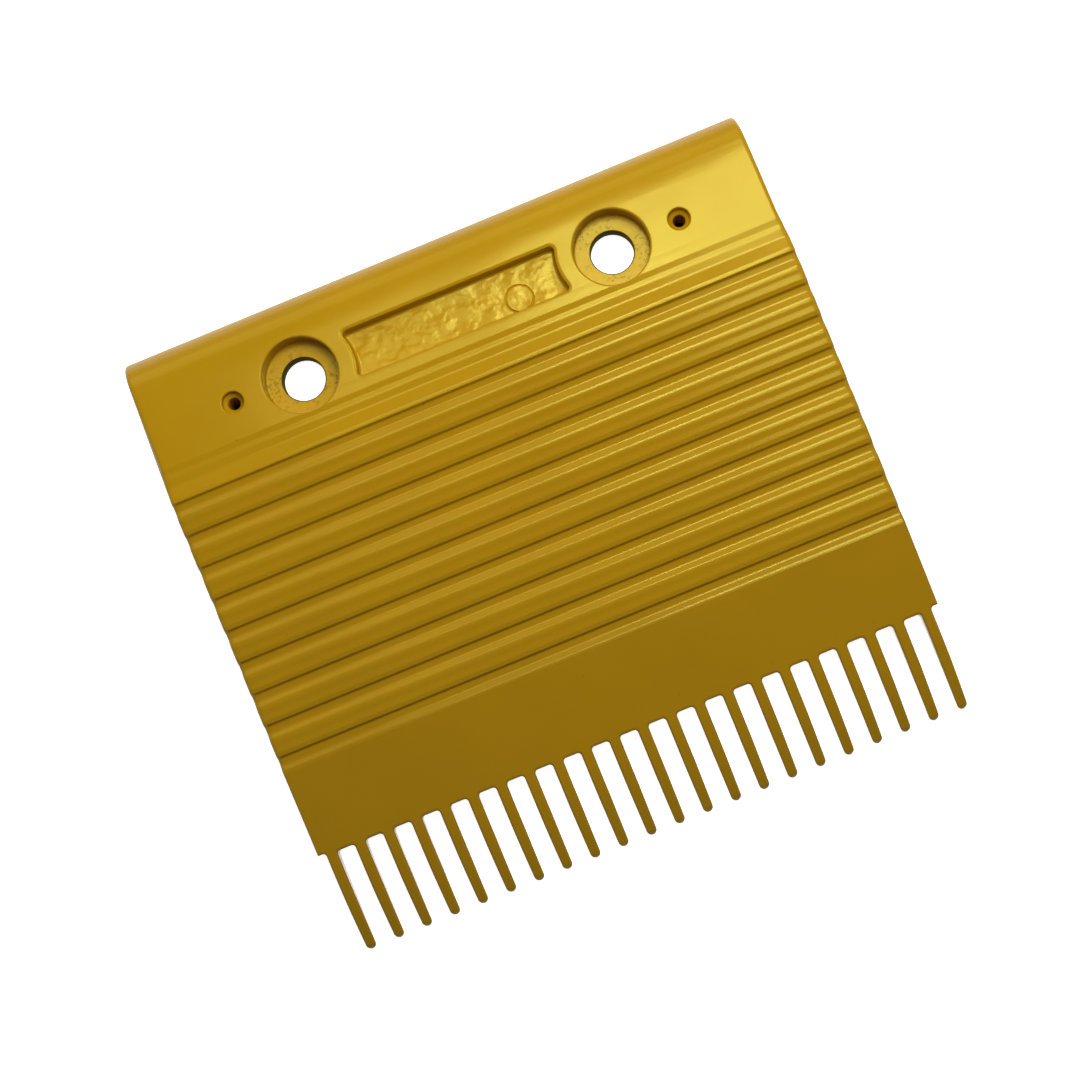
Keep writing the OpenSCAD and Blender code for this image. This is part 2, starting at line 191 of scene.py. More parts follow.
class DeckSizes(bpy.types.PropertyGroup):
    """Sizes of the fixing land and the ribbed tread."""
    nose: size("Nose radius", 10 * MM, "Radius of the rounded rear edge")
    crown: size("Crown", 0.15 * MM, "How far the land has dropped where the nose begins")
    land_step: size("Fine step", 37.1 * MM, "Rear edge to the fine step in front of the land")
    rib_pitch: size("Rib pitch", 10 * MM, "Distance from one rib to the next")
    rib_count: IntProperty(name="Ribs", description="Number of full grooves", default=9, min=1, max=12)
    crest: size("Crest height", 12 * MM, "Height of the slope's upper end above the underside")
    tread_slope: slope("Tread slope", 9.8, "Slope of the tread")
    toe_slope: slope("Toe slope", 8.5, "Slope of the smooth toe")
    groove_depth: size("Groove depth", 1.12 * MM, "Depth of a groove square to the ribs")
    groove_len: size("Groove length", 4.7 * MM, "From a riser to the next rib")
    skin: size("Wall", 5 * MM, "Thickness of the tread's wall")
    land_edge: size("Land side edge", 1.2 * MM, "Radius of the land's side edges")
    tread_edge: size("Tread side edge", 1.1 * MM, "Radius of the tread's side edges")


class HoleSizes(bpy.types.PropertyGroup):
    """Sizes of the holes and the sunk panel in the fixing land."""
    screw_spacing: size("Screw spacing", 99.75 * MM, "Distance between the screw holes")
    screw_hole: size("Screw hole", 13 * MM, "Diameter of a screw hole")
    counterbore: size("Counterbore", 23 * MM, "Diameter of a counterbore")
    counterbore_depth: size("Counterbore depth", 7 * MM, "Depth of a counterbore")
    pin_spacing: size("Pin spacing", 143 * MM, "Distance between the small stepped holes")
    pin_hole: size("Pin hole", 3.6 * MM, "Diameter of the narrow lower hole")
    pin_step: size("Pin step", 6.5 * MM, "Diameter of the wide upper step")
    pin_step_depth: size("Pin step depth", 2.5 * MM, "Depth of the wide upper step")
    rim: size("Rim", 0.7 * MM, "Radius of the holes' rims")
    panel_half: size("Panel half width", 8 * MM, "Half of the panel from front to rear")
    panel_web: size("Panel web", 4.9 * MM, "Wall between the panel and a counterbore")
    panel_depth: size("Panel depth", 4.5 * MM, "Depth of the panel's floor")
    panel_corner: size("Panel corner", 2 * MM, "Radius of the panel's corners")
    panel_rim: size("Panel rim", 1.1 * MM, "Radius of the panel's rim")


class CombSizes(bpy.types.PropertyGroup):
    """Sizes of the comb's teeth."""
    tooth: size("Tooth", 3.45 * MM, "Thickness of a tooth at its root")
    tooth_tip: size("Tooth tip", 3.1 * MM, "Thickness of a tooth at its tip")
    taper: size("Taper", 14 * MM, "Length over which a tooth gets thinner")
    slot_corner: size("Slot corner", 1 * MM, "Radius of the corners at the bottom of a slot")
    root_depth: size("Root depth", 9 * MM, "Depth of a tooth at the slot roots")
    tip_radius: size("Tip radius", 2.2 * MM, "Radius of a tooth's tip seen from the side")
    tip_slope: slope("Tip slope", 25, "Slope of a tooth just before its tip")
    shoulder: size("Shoulder", 0.7 * MM, "How far the end shoulders stop short of the slot roots")
    edge: size("Edge", 0.85 * MM, "Radius of the upper edges of the teeth and the slots")
    draft: size("Draft", 0.55 * MM, "How much a tooth gets thinner at each side from top to bottom")


class PaintColours(bpy.types.PropertyGroup):
    """Colours of the powder coat, of the specks and darker patches in its recesses, and of the bores, near
    black as bare metal and painted shade.
    """
    paint: tint("Paint", (0.468, 0.243, 0.001), "Powder coat")
    thin: tint("Thin paint", (0.50, 0.27, 0.01), "Thinner coat on the bored floors")
    # Used for the specks and pits in the coat, and for darker patches just under the counterbores' rims
    grime: tint("Grime", (0.12, 0.05, 0.004), "Specks and dirt in the recesses")
    # The bores: bare metal, made near black as painted shade as well
    bare_and_shade: tint("Bare bore", (0.022, 0.024, 0.004), "Unpainted metal inside the screw holes")


def holds(context):
    """The sizes and colours that the panel shows."""
    scene = context.scene
    return scene.comb_deck, scene.comb_holes, scene.comb_teeth, scene.comb_paint


def arc(centre, radius, start, end, steps):
    """Points on a circle from one angle to another, in degrees."""
    angles = [math.radians(start + (end - start) * k / steps) for k in range(steps + 1)]
    return [(centre[0] + radius * math.cos(a), centre[1] + radius * math.sin(a)) for a in angles]


def rounded(path, steps=5):
    """A path of (place, height, radius) with each inner corner rounded."""
    straight = math.radians(89.9)
    result = [Vector(path[0][:2])]
    for before, here, after in zip(path, path[1:], path[2:]):
        corner, radius = Vector(here[:2]), here[2]
        back = (Vector(before[:2]) - corner).normalized()
        on = (Vector(after[:2]) - corner).normalized()
        half = back.angle(on) / 2
        if radius == 0 or half > straight:
            result.append(corner)
            continue
        centre = corner + (back + on).normalized() * radius / math.sin(half)
        first = corner + back * radius / math.tan(half)
        last = corner + on * radius / math.tan(half)
        turn = (first - centre).angle_signed(last - centre)
        for k in range(steps + 1):
            result.append(centre + Matrix.Rotation(-turn * k / steps, 2) @ (first - centre))
    result.append(Vector(path[-1][:2]))
    return result


def loft(name, loops):
    """A closed solid: an outline that is extruded through loops with as many points as the first."""
    bpy.ops.object.select_all(action="DESELECT")
    bpy.ops.mesh.primitive_circle_add(vertices=len(loops[0]), fill_type="NGON", enter_editmode=True)
    piece = bpy.context.object
    piece.name = piece.data.name = name
    mesh = bmesh.from_edit_mesh(piece.data)
    order = mesh.verts.layers.int.new("order")
    mesh.verts.ensure_lookup_table()
    for number, vertex in enumerate(mesh.verts):
        vertex[order] = number
        vertex.co = loops[0][number]
    for loop in loops[1:]:
        bmesh.update_edit_mesh(piece.data)
        bpy.ops.mesh.extrude_region_move()
        mesh = bmesh.from_edit_mesh(piece.data)
        order = mesh.verts.layers.int["order"]
        for vertex in mesh.verts:
            if vertex.select:
                vertex.co = loop[vertex[order]]
    mesh.verts.layers.int.remove(order)
    bmesh.update_edit_mesh(piece.data)
    bpy.ops.mesh.select_all(action="SELECT")
    bpy.ops.mesh.normals_make_consistent(inside=False)
    bpy.ops.object.mode_set(mode="OBJECT")
    return piece


def turned(name, centre, profile, steps=72):
    """A round cutter about an upright axis, through (radius, height) points."""
    last = 360 * (steps - 1) / steps
    loops = [[(px, py, z) for px, py in arc(centre, r, 0, last, steps - 1)] for r, z in profile]
    return loft(name, loops)


def joined(pieces):
    """The pieces as one object."""
    bpy.ops.object.select_all(action="DESELECT")
    for piece in pieces:
        piece.select_set(True)
    bpy.context.view_layer.objects.active = pieces[0]
    if len(pieces) > 1:
        bpy.ops.object.join()
    return pieces[0]


def cut(piece, cutters):
    """Takes the cutters, which don't touch each other, off the piece."""
    tool = joined(cutters)
    bpy.ops.object.select_all(action="DESELECT")
    bpy.context.view_layer.objects.active = piece
    piece.select_set(True)
    step = piece.modifiers.new("cut", "BOOLEAN")
    step.operation, step.solver, step.object = "DIFFERENCE", "EXACT", tool
    bpy.ops.object.modifier_apply(modifier=step.name)
    bpy.data.objects.remove(tool)


def finished(piece, material, nodes):
    """Smooth shading with flat faces kept flat, the coat, and what the piece stands for in the frame."""
    sharp_angle, face_weight = math.radians(38), 60
    bpy.ops.object.select_all(action="DESELECT")
    bpy.context.view_layer.objects.active = piece
    piece.select_set(True)
    bpy.ops.object.shade_smooth_by_angle(angle=sharp_angle)
    normals = piece.modifiers.new("normals", "WEIGHTED_NORMAL")
    normals.keep_sharp = True
    normals.weight = face_weight
    bpy.ops.object.modifier_apply(modifier=normals.name)
    piece.data.materials.clear()
    piece.data.materials.append(material)
    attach(piece, "root")
    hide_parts(*nodes)


class Line:
    """Heights of the tread and the toe along the plate."""

    def __init__(self, deck):
        self.deck = deck
        self.first_riser = deck.land_step + deck.rib_pitch
        self.last_riser = self.first_riser + (deck.rib_count - 1) * deck.rib_pitch
        self.toe_start = self.last_riser + deck.groove_len
        # The slope starts just behind the first riser, and that of the wall's lower side in front of it
        self.crest_at = self.first_riser - 0.5 * MM
        self.bend = self.crest_at + 1 * MM

    def crest(self, u):
        """The line that the ribs reach."""
        return self.deck.crest - math.tan(self.deck.tread_slope) * (u - self.crest_at)

    def toe(self, u):
        """The upper side of the smooth toe."""
        return self.crest(self.toe_start) - math.tan(self.deck.toe_slope) * (u - self.toe_start)

    def under(self, u):
        """The lower side of the wall."""
        upper = self.toe(u) if u > self.toe_start else self.crest(max(u, self.bend))
        return upper - self.deck.skin

    def ground(self):
        """Where the wall's lower side comes down to the mounting plane."""
        return self.bend + self.under(self.bend) / math.tan(self.deck.tread_slope)

    def groove(self, riser):
        """The corners of the groove in front of a riser, with those of the rib behind it."""
        corners = []
        for place, share, radius in GROOVE:
            u = riser + place * MM
            corners.append((u, self.crest(u) + share * self.deck.groove_depth, radius * MM))
        return corners

    def halves(self):
        """The upper side from the flat land to the teeth as two paths, which meet at the toe's seam."""
        last = (TOOTH_SEAM, self.toe(TOOTH_SEAM), 0)
        path = rounded([(FLAT_END, LAND_TOP, 0)] + self.tread() + [last])
        seam = Vector((TOE_SEAM, height_at(path, TOE_SEAM)))
        rear = [point for point in path if point.x < TOE_SEAM]
        front = [point for point in path if point.x > TOE_SEAM]
        return rear + [seam], [seam] + front

    def tread(self):
        """The corners of the tread from the land to the toe."""
        deck = self.deck
        rib = 2  # the first two corners of a groove are the rib's
        corners = [(u * MM, LAND_TOP + z * MM, radius * MM) for u, z, radius in FIRST_GROOVE]
        corners += self.groove(self.first_riser)[rib:]
        for k in range(1, deck.rib_count):
            corners += self.groove(self.first_riser + k * deck.rib_pitch)
        return corners


def side_round(radius, inset):
    """How far a rounded side edge has dropped at a distance from the side."""
    inset = min(inset, radius)
    return radius - math.sqrt(radius ** 2 - (radius - inset) ** 2)


def ease(value, low, high):
    """0 below low and 1 above high, with a soft step between."""
    t = min(max((value - low) / (high - low), 0), 1)
    return t * t * (3 - 2 * t)


def side_drop(deck, u, inset):
    """The fall towards the side: a rounded edge, and on the tread a slight fall before it."""
    fall, reach = 0.12 * MM, 3.5 * MM
    edge_change, fall_start = (30 * MM, 40 * MM), (36 * MM, 42 * MM)
    radius = deck.land_edge + (deck.tread_edge - deck.land_edge) * ease(u, *edge_change)
    slight = fall * max(1 - inset / reach, 0) ** 2 * ease(u, *fall_start)
    return side_round(radius, inset) + slight


def half_width(u):
    """Half of the deck's width: the land is a little narrower than the tread."""
    if u < WIDENING[0]:
        return LAND_HALF
    if u < WIDENING[1]:
        return (LAND_HALF + TREAD_HALF) / 2
    return TREAD_HALF


class COMB_OT_deck(bpy.types.Operator):
    """Add the land and the ribbed tread as one casting"""
    bl_idname = "comb.add_deck"
    bl_label = "Add Land and Tread"

    def execute(self, context):
        deck, holes, _, colours = holds(context)
        piece = deck_body(deck)
        hollow_underside(piece, deck)
        drill_land(piece, holes)
        nodes = [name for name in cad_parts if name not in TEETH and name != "toe_ramp"]
        finished(piece, paint_material(colours, holes), nodes)
        return {"FINISHED"}


def deck_top(deck, line):
    """The upper side from the rear edge to the toe's seam: nose, crown, flat land and tread."""
    nose = arc((deck.nose, LAND_TOP - deck.crown - deck.nose), deck.nose, 180, 90, steps=16)
    crown = [(deck.nose + row * MM, LAND_TOP - deck.crown * (1 - row / CROWN_ROWS[-1]) ** 2)
             for row in CROWN_ROWS]
    land = [(row * MM, LAND_TOP) for row in LAND_ROWS]
    return [Vector(point) for point in [(0, 0)] + nose + crown + land] + line.halves()[0]


def deck_under(line):
    """The lower side from the toe's seam to the mounting plane, round the front rib."""
    rib_rear = TOE_SEAM - FRONT_RIB
    return (
        Vector((TOE_SEAM, line.under(TOE_SEAM) - FRONT_RIB_DEPTH)),
        Vector((rib_rear, line.under(rib_rear) - FRONT_RIB_DEPTH)),
        Vector((rib_rear, line.under(rib_rear))),
        Vector((line.ground(), 0)),
    )


def deck_body(deck):
    """The side outline of the land and the tread, drawn out sideways with its edges rounded."""
    line = Line(deck)
    top, under = deck_top(deck, line), deck_under(line)
    nose_height = LAND_TOP - deck.crown - deck.nose
    insets = [row * MM for row in SIDE_ROWS]
    loops = []
    for side, inset in [(-1, inset) for inset in insets] + [(1, inset) for inset in reversed(insets)]:
        loop = []
        for point in top:
            drop = side_drop(deck, point.x, inset)
            if point.x < deck.nose:
                centre = Vector((deck.nose, min(point.y, nose_height)))
                u, z = centre + (point - centre) * (deck.nose - drop) / deck.nose
            else:
                u, z = point.x, point.y - drop
            loop.append((side * (half_width(point.x) - inset), REAR_Y - u, z))
        loop += [(side * (half_width(point.x) - inset), REAR_Y - point.x, point.y) for point in under]
        loops.append(loop)
    return loft("land_and_tread", loops)


def rounded_box(name, x, u, corner, levels):
    """A cutter with rounded upright edges: (grow, height) levels, where a height may follow a slope."""
    left, right = x[0] + corner, x[1] - corner
    rear, front = REAR_Y - u[0] - corner, REAR_Y - u[1] + corner
    quarters = (((right, rear), 0), ((left, rear), 90), ((left, front), 180), ((right, front), 270))
    loops = []
    for grow, height in levels:
        points = []
        for centre, start in quarters:
            points += arc(centre, corner + grow, start, start + 90, steps=5)
        loops.append([(px, py, height(REAR_Y - py) if callable(height) else height) for px, py in points])
    return loft(name, loops)


def fillet_levels(fillet, ceiling):
    """The upper levels of a cutter that is filleted along its ceiling."""
    levels = []
    for a in (0, 30, 60, 90):
        inward = fillet * (1 - math.cos(math.radians(a)))
        rise = fillet * math.sin(math.radians(a))
        levels.append((-inward, lambda u, rise=rise: ceiling(u) - fillet + rise))
    return levels


def pocket(name, x, u, ceiling):
    """A pocket in the underside, a little wider at its mouth and filleted along its ceiling."""
    corner, draft, fillet = 1.5 * MM, 0.25 * MM, 0.8 * MM
    return rounded_box(name, x, u, corner, [(draft, -BELOW)] + fillet_levels(fillet, ceiling))


def land_hollow(sides, rear):
    """The hollow under the land as a cutter, with the pads round the holes left out of it."""
    overlap, draft, foot, flare = 0.5 * MM, 0.3 * MM, 0.5 * MM, 1 * MM
    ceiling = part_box("left_screw_pad")[1].z
    hollow = pocket("hollow", sides, (rear, LAND_SEAM + overlap), lambda u: ceiling)
    for name in ("left_screw_pad", "right_screw_pad", "left_pin_pad", "right_pin_pad"):
        low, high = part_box(name)
        radius = (high.x - low.x) / 2
        profile = [(radius, -2 * BELOW), (radius, 0), (radius + draft, ceiling - foot)]
        profile.append((radius + flare, ceiling + flare))
        cut(hollow, [turned("pad", ((low.x + high.x) / 2, 0), profile)])
    return hollow


def hollow_underside(piece, deck):
    """Cuts the hollow under the land, and the pockets between the ribs under the tread."""
    line = Line(deck)
    front_margin = 4 * MM
    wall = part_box("left_side_wall")
    inner = LAND_HALF - (wall[1].x - wall[0].x)
    cut(piece, [land_hollow((-inner, inner), REAR_Y - wall[1].y)])
    stiffeners = [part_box(name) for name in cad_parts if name.startswith("stiffening_rib")]
    stiffeners.sort(key=lambda box: box[0].x)
    lefts = [-inner] + [box[1].x for box in stiffeners]
    rights = [box[0].x for box in stiffeners] + [inner]
    crosses = [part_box("rear_cross_rib"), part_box("middle_cross_rib")]
    starts = [LAND_SEAM] + [REAR_Y - box[0].y for box in crosses]
    ends = [REAR_Y - box[1].y for box in crosses] + [line.ground() - front_margin]
    cutters = [pocket("pocket", (left, right), (start, end), line.under)
               for left, right in zip(lefts, rights) for start, end in zip(starts, ends)]
    cut(piece, cutters)


def rim_profile(radius, rim, low, high):
    """The wall and the rounded rim of a hole, from a low height to above a surface at high."""
    quarter = arc((radius + rim, high - rim + LIFT), rim, 180, 90, steps=6)
    return [(radius, low)] + quarter + [(radius + rim, high + ABOVE)]


def screw_cutter(holes, side):
    """A screw hole with softened ends, and its wide counterbore with a filleted floor."""
    bore, wide = holes.screw_hole / 2, holes.counterbore / 2
    floor = LAND_TOP - holes.counterbore_depth
    mouth, lip, fillet, wall_top = 0.4 * MM, 0.5 * MM, 0.6 * MM, LAND_TOP - 2 * MM
    profile = [(bore + mouth, -BELOW), (bore + mouth, 0), (bore, mouth), (bore, floor - lip)]
    profile += [(bore + MIDWAY * lip, floor - MIDWAY * lip), (bore + lip, floor)]
    profile += [(wide - fillet, floor)] + arc((wide - fillet, floor + fillet), fillet, -60, 0, steps=3)
    profile += rim_profile(wide, holes.rim, wall_top, LAND_TOP)
    return turned("screw", (side * holes.screw_spacing / 2, 0), profile)


def pin_cutter(holes, side):
    """A small hole with a softened mouth, and its wide step with a slightly conical floor."""
    bore, wide = holes.pin_hole / 2, holes.pin_step / 2
    floor = LAND_TOP - holes.pin_step_depth
    mouth, mouth_height, lip, rise = 0.2 * MM, 0.3 * MM, 0.3 * MM, 0.1 * MM
    fillet, rim = 0.4 * MM, 0.55 * MM
    profile = [(bore + mouth, -BELOW), (bore + mouth, 0), (bore, mouth_height), (bore, floor - 2 * lip)]
    profile += [(bore + lip, floor - 2 * rise), (wide - fillet, floor + rise)]
    profile += rim_profile(wide, rim, floor + rise + fillet, LAND_TOP)
    return turned("pin", (side * holes.pin_spacing / 2, 0), profile, steps=48)


def drill_land(piece, holes):
    """Cuts the counterbored screw holes, the stepped side holes and the sunk panel."""
    cutters = []
    for side in (-1, 1):
        cutters += [screw_cutter(holes, side), pin_cutter(holes, side)]
    cut(piece, cutters + [panel_cutter(holes)])
    cut_mark_ring(piece, holes)


def cut_mark_ring(piece, holes):
    """Cuts the shallow ring round the ejector mark into the panel's floor."""
    outside, above, tube = 0.15 * MM, 0.1 * MM, 0.45 * MM
    bpy.ops.mesh.primitive_torus_add(
        location=(*MARK_PLACE, LAND_TOP - holes.panel_depth + above), major_segments=48, minor_segments=8,
        major_radius=MARK_RADIUS + outside, minor_radius=tube)
    cut(piece, [bpy.context.object])


def panel_outline(holes, grow):
    """The panel's outline grown by a distance: its ends curve round the counterbores."""
    reach = holes.screw_spacing / 2
    end_r = holes.counterbore / 2 + holes.panel_web
    corner, half = holes.panel_corner, holes.panel_half
    corner_y = half - corner
    corner_x = reach - math.sqrt((end_r + corner) ** 2 - corner_y ** 2)
    lean = math.degrees(math.atan2(corner_y, reach - corner_x))
    points = []
    for side in (1, -1):
        quarter = arc((corner_x, corner_y), corner + grow, 90, -lean, steps=7)
        end = arc((reach, 0), end_r - grow, 180 - lean, 180 + lean, steps=12)[1:-1]
        lower = arc((corner_x, -corner_y), corner + grow, lean, -90, steps=7)
        points += [(side * px, side * py) for px, py in quarter + end + lower]
    return points


def panel_cutter(holes):
    """The panel as a cutter: a filleted floor, slightly leaning walls and a rounded rim."""
    floor = LAND_TOP - holes.panel_depth
    fillet, rim, inset, lean = 0.9 * MM, holes.panel_rim, 0.8 * MM, 0.1 * MM
    levels = [(-fillet, floor)]
    levels += [(dx - fillet, dz + floor + fillet) for dx, dz in arc((0, 0), fillet, -67.5, 0, steps=3)]
    levels += [(lean + dx, LAND_TOP + dz) for dx, dz in arc((rim, LIFT - rim), rim, 180, 90, steps=6)]
    levels += [(lean + rim, LAND_TOP + ABOVE)]
    loops = [[(px, py, z) for px, py in panel_outline(holes, grow - inset)] for grow, z in levels]
    cutter = loft("panel", loops)
    cut(cutter, [ejector_mark(floor)])
    return cutter


def ejector_mark(floor):
    """A low round disc on the panel's floor, with a softened edge."""
    shares_and_heights = ((1.05, -BELOW), (1.05, 0.05 * MM), (1, 0.22 * MM), (0.94, 0.3 * MM))
    profile = [(MARK_RADIUS * share, floor + z) for share, z in shares_and_heights]
    return turned("mark", MARK_PLACE, profile, steps=48)


class COMB_OT_teeth(bpy.types.Operator):
    """Add the toe and its comb of teeth as one casting"""
    bl_idname = "comb.add_teeth"
    bl_label = "Add Toe and Teeth"

    def execute(self, context):
        deck, holes, teeth, colours = holds(context)
        piece = comb_body(deck, teeth)
        clear_channels(piece, deck, teeth)
        finished(piece, paint_material(colours, holes), ["toe_ramp"] + TEETH)
        return {"FINISHED"}


def tooth_places():
    """The middle of each tooth, from left to right."""
    boxes = sorted((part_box(name) for name in TEETH), key=lambda box: box[0].x)
    return [(low.x + high.x) / 2 for low, high in boxes]


def comb_outline(teeth, inset):
    """The toe and the teeth from above, shrunk by an inset, as points (x, distance from the rear)."""
    half, tip_half = teeth.tooth / 2 - inset, teeth.tooth_tip / 2 - inset
    corner, reach = teeth.slot_corner + inset, teeth.tooth / 2 + teeth.slot_corner
    root = TOOTH_SEAM - teeth.slot_corner
    shoulder = root - teeth.shoulder
    tip_end = TIP - teeth.tooth_tip / 2
    places = tooth_places()
    points = [(TREAD_HALF - inset, TOE_SEAM), (TOE_HALF - inset, shoulder - inset)]
    for x in reversed(places):
        foot = shoulder if x == places[-1] else root
        points += arc((x + reach, foot + teeth.slot_corner), corner, 270, 180, steps=4)
        points += [(x + half, tip_end - teeth.taper)]
        points += arc((x, tip_end), tip_half, 0, 180, steps=10)
        points += [(x - half, tip_end - teeth.taper)]
        foot = shoulder if x == places[0] else root
        points += arc((x - reach, foot + teeth.slot_corner), corner, 0, -90, steps=4)
    return points + [(inset - TOE_HALF, shoulder - inset), (inset - TREAD_HALF, TOE_SEAM)]


class Blade:
    """A tooth from the side: an arc that leaves the toe at its slope, a round tip and a lower edge."""

    def __init__(self, line, teeth):
        self.line, self.teeth = line, teeth
        toe, tip = line.deck.toe_slope, teeth.tip_slope
        run = TIP - teeth.tip_radius * (1 - math.sin(tip)) - TOOTH_SEAM
        self.radius = run / (math.sin(tip) - math.sin(toe))
        self.arc_z = line.toe(TOOTH_SEAM) - self.radius * math.cos(toe)
        self.arc_u = TOOTH_SEAM - self.radius * math.sin(toe)
        self.arc_end = self.arc_u + self.radius * math.sin(tip)
        self.tip_u = TIP - teeth.tip_radius
        self.tip_z = self.arc_z + self.radius * math.cos(tip) - teeth.tip_radius * math.cos(tip)
        self.root_u = TOOTH_SEAM - teeth.slot_corner
        self.root_z = line.toe(self.root_u) - teeth.root_depth

    def round_tip(self, u):
        """Half of the tip's height at a place in its round end, which stays a little blunt."""
        blunt = 0.94
        reach = min(max(u - self.tip_u, 0), self.teeth.tip_radius * blunt)
        return math.sqrt(self.teeth.tip_radius ** 2 - reach ** 2)

    def upper(self, u):
        """The upper edge from the toe to the tip."""
        if u < TOOTH_SEAM:
            return self.line.toe(u)
        if u < self.arc_end:
            return self.arc_z + math.sqrt(self.radius ** 2 - (u - self.arc_u) ** 2)
        return self.tip_z + self.round_tip(u)

    def lower(self, u):
        """The lower edge: under the toe the fin's, and then a straight one that touches the round tip."""
        run, fall = self.tip_u - self.root_u, self.tip_z - self.root_z
        lean = math.atan2(fall, run) - math.asin(self.teeth.tip_radius / math.hypot(run, fall))
        if u > self.root_u:
            straight = self.root_z + (u - self.root_u) * math.tan(lean)
            return max(straight, self.tip_z - self.round_tip(u))
        rear = self.line.under(TOE_SEAM) - FRONT_RIB_DEPTH
        return rear + (self.root_z - rear) * (u - TOE_SEAM) / (self.root_u - TOE_SEAM)


def comb_body(deck, teeth):
    """The comb's plan outline drawn down with rounded edges, then bent to the toe and the teeth."""
    line = Line(deck)
    depth, draft, edge, low_edge = teeth.root_depth, teeth.draft, teeth.edge, 0.4 * MM
    midway = MIDWAY * low_edge
    levels = [(draft + low_edge, -depth), (draft + midway, midway - depth), (draft, low_edge - depth)]
    levels += [(edge - dx, dz - edge) for dx, dz in arc((0, 0), edge, 0, 90, steps=5)]
    loops = [[(px, REAR_Y - pu, z) for px, pu in comb_outline(teeth, inset)] for inset, z in levels]
    piece = loft("toe_and_teeth", loops)
    bend(piece, Blade(line, teeth), line.halves()[1], depth)
    return piece


def bend(piece, blade, toe_path, depth):
    """Cuts the flat comb into rows and moves each row to the toe's path and the blade's edges."""
    tooth_rows, tip_angles = 14, (0, 20, 40, 60)
    rows = [point.x for point in toe_path[1:-1]]
    rows += [TOOTH_SEAM + (TIP - TOOTH_SEAM) * k / tooth_rows for k in range(tooth_rows)]
    rows += [blade.tip_u + blade.teeth.tip_radius * math.sin(math.radians(a)) for a in tip_angles]
    bpy.ops.object.mode_set(mode="EDIT")
    for u in rows:
        bpy.ops.mesh.select_all(action="SELECT")
        bpy.ops.mesh.bisect(plane_co=(0, REAR_Y - u, 0), plane_no=(0, 1, 0))
    mesh = bmesh.from_edit_mesh(piece.data)
    for vertex in mesh.verts:
        u = REAR_Y - vertex.co.y
        top = height_at(toe_path, u) if u < toe_path[-2].x else blade.upper(u)
        low = blade.lower(u)
        vertex.co.z = low + (top - low) * (vertex.co.z + depth) / depth
    bmesh.update_edit_mesh(piece.data)
    bpy.ops.object.mode_set(mode="OBJECT")


def height_at(rows, u):
    """The height of a path at a place along it."""
    for near, far in zip(rows, rows[1:]):
        if u <= far.x:
            return near.y + (far.y - near.y) * max(u - near.x, 0) / (far.x - near.x)
    return rows[-1].y


def clear_channels(piece, deck, teeth):
    """Cuts the channels under the toe between the fins of the teeth."""
    line = Line(deck)
    places = tooth_places()
    corner, draft, fillet, bottom = 0.9 * MM, 0.5 * MM, 0.6 * MM, -30 * MM
    wall, into_slot = 0.15 * MM, 2.5 * MM
    side = teeth.tooth / 2 + wall
    ends = (TOE_SEAM - FRONT_RIB, TOOTH_SEAM - teeth.slot_corner + into_slot)
    levels = [(draft, bottom)] + fillet_levels(fillet, line.under)
    cutters = [rounded_box("channel", (left + side, right - side), ends, corner, levels)
               for left, right in zip(places, places[1:])]
    cut(piece, cutters)


class Sock:
    """A socket of a shader that adds its Math nodes as it is used in an expression."""

    def __init__(self, tree, socket):
        self.tree, self.socket = tree, socket

    def math(self, operation, *values):
        """A Math node of the given operation."""
        return node(self.tree, "ShaderNodeMath", {"operation": operation}, values)

    def __add__(self, other):
        return self.math("ADD", self, other)

    def __radd__(self, other):
        return self.math("ADD", other, self)

    def __sub__(self, other):
        return self.math("SUBTRACT", self, other)

    def __rsub__(self, other):
        return self.math("SUBTRACT", other, self)

    def __mul__(self, other):
        return self.math("MULTIPLY", self, other)

    def __rmul__(self, other):
        return self.math("MULTIPLY", other, self)

    def __lt__(self, other):
        return self.math("LESS_THAN", self, other)

    def __gt__(self, other):
        return self.math("GREATER_THAN", self, other)

    def __abs__(self):
        return self.math("ABSOLUTE", self)


def node(tree, kind, settings=None, inputs=(), output=0):
    """Adds a node: its settings first, then the values or links of its sockets."""
    made = tree.nodes.new(kind)
    for name, value in (settings or {}).items():
        setattr(made, name, value)
    pairs = inputs.items() if isinstance(inputs, dict) else enumerate(inputs)
    for key, value in pairs:
        if isinstance(value, Sock):
            tree.links.new(value.socket, made.inputs[key])
        else:
            made.inputs[key].default_value = value
    return Sock(tree, made.outputs[output])


def split(place):
    """The x, y and z of a place."""
    parts = place.tree.nodes.new("ShaderNodeSeparateXYZ")
    place.tree.links.new(place.socket, parts.inputs[0])
    return [Sock(place.tree, socket) for socket in parts.outputs]


def ramp(tree, value, low, high):
    """0 below low and 1 above high, with a soft step between."""
    return node(tree, "ShaderNodeMapRange", {"interpolation_type": "SMOOTHSTEP"},
                {"Value": value, "From Min": low, "From Max": high})


def noise(tree, place, kind):
    """One of the coat's noises."""
    bumps, detail, rough = NOISES[kind]
    return node(tree, "ShaderNodeTexNoise", {}, {
        "Vector": place, "Scale": 0.5 / bumps, "Detail": detail, "Roughness": rough})


def blend(tree, mask, under, over, kind="MIX"):
    """One colour over another where the mask is 1; the node's sockets 0, 6 and 7 take the three."""
    settings = {"data_type": "RGBA", "blend_type": kind}
    return node(tree, "ShaderNodeMix", settings, {0: mask, 6: under, 7: over}, 2)


def rgba(colour, level=1.0):
    """A colour with its brightness scaled, for a socket."""
    return (*(c * level for c in colour), 1)


def cleared(owner):
    """The empty node tree of a material or a world."""
    owner.use_nodes = True
    owner.node_tree.nodes.clear()
    return owner.node_tree


def put_out(shader, kind):
    """Links a shader to the output node of its tree."""
    output = shader.tree.nodes.new(kind)
    shader.tree.links.new(shader.socket, output.inputs["Surface"])


